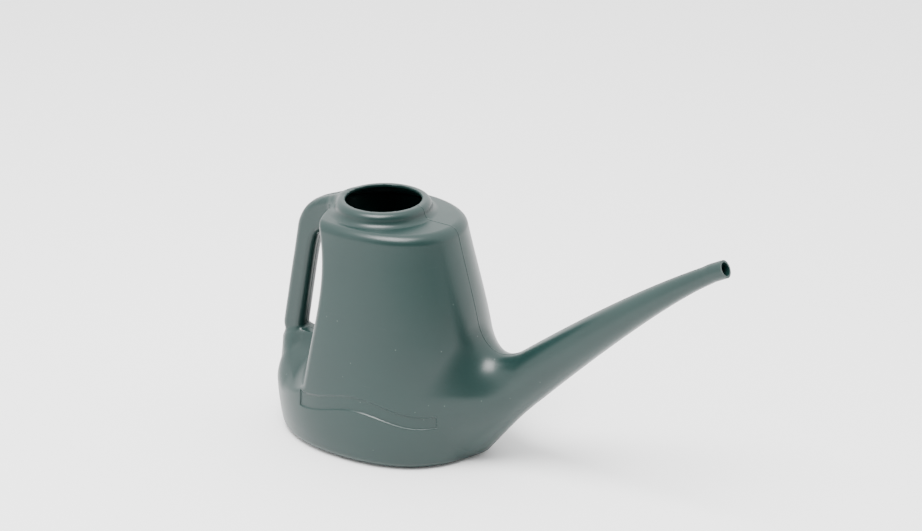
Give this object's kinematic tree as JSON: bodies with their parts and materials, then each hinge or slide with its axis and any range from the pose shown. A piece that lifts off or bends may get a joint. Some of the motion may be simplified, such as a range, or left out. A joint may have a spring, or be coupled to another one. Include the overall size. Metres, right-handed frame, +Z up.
{
  "type": "watering can",
  "caption": "Small indoor watering can: oval tank tapering to a round filling mouth, a hollow rear handle and a long rising tapered spout.",
  "frame": {"origin": "where the axis of the filling mouth meets the floor, on the flat underside of the base", "axes": "+X from the neck axis towards the spout, +Z up, Y across the can, which is symmetric about Y = 0"},
  "size_m": [0.3692, 0.134, 0.1967],
  "materials": {
    "polyethylene": "dark slate green blow-moulded polyethylene with a soft gloss"
  },
  "bodies": {
    "root": {"base_plate": "polyethylene", "heel": "polyethylene", "tank_wall": "polyethylene", "wave_panel_left": "polyethylene", "wave_panel_right": "polyethylene", "body_cone": "polyethylene", "shoulder": "polyethylene", "neck_collar": "polyethylene", "handle_arm": "polyethylene", "handle_grip": "polyethylene", "handle_foot": "polyethylene", "spout_root": "polyethylene", "spout_lower": "polyethylene", "spout_upper": "polyethylene", "spout_tip": "polyethylene"}
  },
  "joints": []
}
